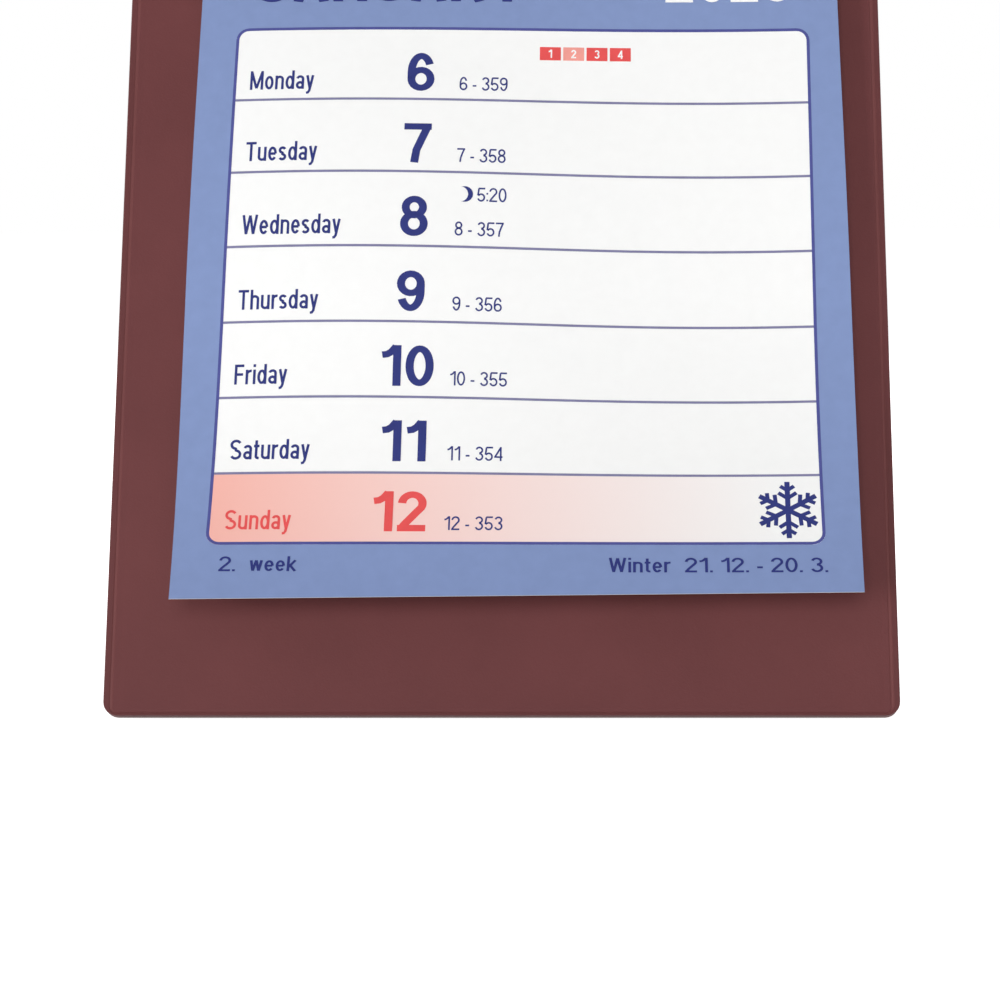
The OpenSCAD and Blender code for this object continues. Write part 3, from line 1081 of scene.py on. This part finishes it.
def studio_floor():
    """A plain white floor that keeps the object's shadow."""
    corners = [(-FLOOR_HALF, -FLOOR_HALF, FLOOR_Z), (FLOOR_HALF, -FLOOR_HALF, FLOOR_Z),
               (FLOOR_HALF, FLOOR_HALF, FLOOR_Z), (-FLOOR_HALF, FLOOR_HALF, FLOOR_Z)]
    material = bpy.data.materials.new("floor")
    material.use_nodes = True
    nodes, links = material.node_tree.nodes, material.node_tree.links
    nodes.clear()
    diffuse = nodes.new("ShaderNodeBsdfDiffuse")
    diffuse.inputs["Color"].default_value = (*linear(FLOOR_WHITE), 1)
    glow = nodes.new("ShaderNodeEmission")
    glow.inputs["Strength"].default_value = FLOOR_GLOW
    unlit = nodes.new("ShaderNodeBsdfTransparent")
    unlit.inputs["Color"].default_value = BLACK
    pick = nodes.new("ShaderNodeMixShader")
    links.new(seen_rays(nodes, links), pick.inputs["Fac"])
    links.new(unlit.outputs["BSDF"], pick.inputs[1])
    links.new(glow.outputs["Emission"], pick.inputs[2])
    add = nodes.new("ShaderNodeAddShader")
    links.new(diffuse.outputs["BSDF"], add.inputs[0])
    links.new(pick.outputs["Shader"], add.inputs[1])
    out = nodes.new("ShaderNodeOutputMaterial")
    links.new(add.outputs["Shader"], out.inputs["Surface"])
    floor = add_mesh("floor", corners, [(0, 1, 2, 3)], [material])


def studio_world():
    """Dim light from all round, behind a backdrop that is seen as white."""
    world = bpy.data.worlds.new("studio")
    bpy.context.scene.world = world
    world.use_nodes = True
    nodes, links = world.node_tree.nodes, world.node_tree.links
    nodes.clear()
    ambient = nodes.new("ShaderNodeBackground")
    ambient.inputs["Strength"].default_value = AMBIENT
    ambient.inputs["Color"].default_value = WHITE
    backdrop = nodes.new("ShaderNodeBackground")
    backdrop.inputs["Strength"].default_value = 1.0
    backdrop.inputs["Color"].default_value = WHITE
    pick = nodes.new("ShaderNodeMixShader")
    links.new(seen_rays(nodes, links), pick.inputs["Fac"])
    links.new(ambient.outputs["Background"], pick.inputs[1])
    links.new(backdrop.outputs["Background"], pick.inputs[2])
    out = nodes.new("ShaderNodeOutputWorld")
    links.new(pick.outputs["Shader"], out.inputs["Surface"])


def soft_box(name, azimuth, elevation, distance, size, power):
    """A square lamp that looks at the object; azimuth 0 is in front of it and positive is to its right."""
    az, el = math.radians(azimuth), math.radians(elevation)
    lamp = bpy.data.lights.new(name, "AREA")
    lamp.size = size
    lamp.energy = power
    obj = bpy.data.objects.new(name, lamp)
    bpy.context.scene.collection.objects.link(obj)
    away = Vector((math.sin(az) * math.cos(el), -math.cos(az) * math.cos(el), math.sin(el)))
    obj.location = AIM + away * distance
    obj.rotation_euler = away.to_track_quat("Z", "Y").to_euler()


def photo_camera():
    """The camera at the photograph's place: columns are its right, its up and its back."""
    cp, sp = math.cos(CAMERA_PITCH), math.sin(CAMERA_PITCH)
    cy, sy = math.cos(CAMERA_YAW), math.sin(CAMERA_YAW)
    ahead = Vector((sy * cp, cy * cp, -sp))
    level = Vector((cy, -sy, 0))
    above = level.cross(ahead)
    cr, sr = math.cos(CAMERA_ROLL), math.sin(CAMERA_ROLL)
    right, up = cr * level + sr * above, cr * above - sr * level
    lens = bpy.data.cameras.new("photo_camera")
    lens.sensor_width = SENSOR_MM
    lens.lens = FOCAL_PX * SENSOR_MM / FRAME_PX
    lens.clip_start = CLIP_START
    camera = bpy.data.objects.new("photo_camera", lens)
    bpy.context.scene.collection.objects.link(camera)
    turn = Matrix((right, up, -ahead)).transposed().to_4x4()
    camera.matrix_world = Matrix.Translation(Vector(CAMERA_AT) * MM) @ turn
    bpy.context.scene.camera = camera


studio_floor()
studio_world()
for lamp_name, lamp_values in LAMPS.items():
    soft_box(lamp_name, *lamp_values)
photo_camera()
bpy.context.scene.view_settings.view_transform = "Standard"
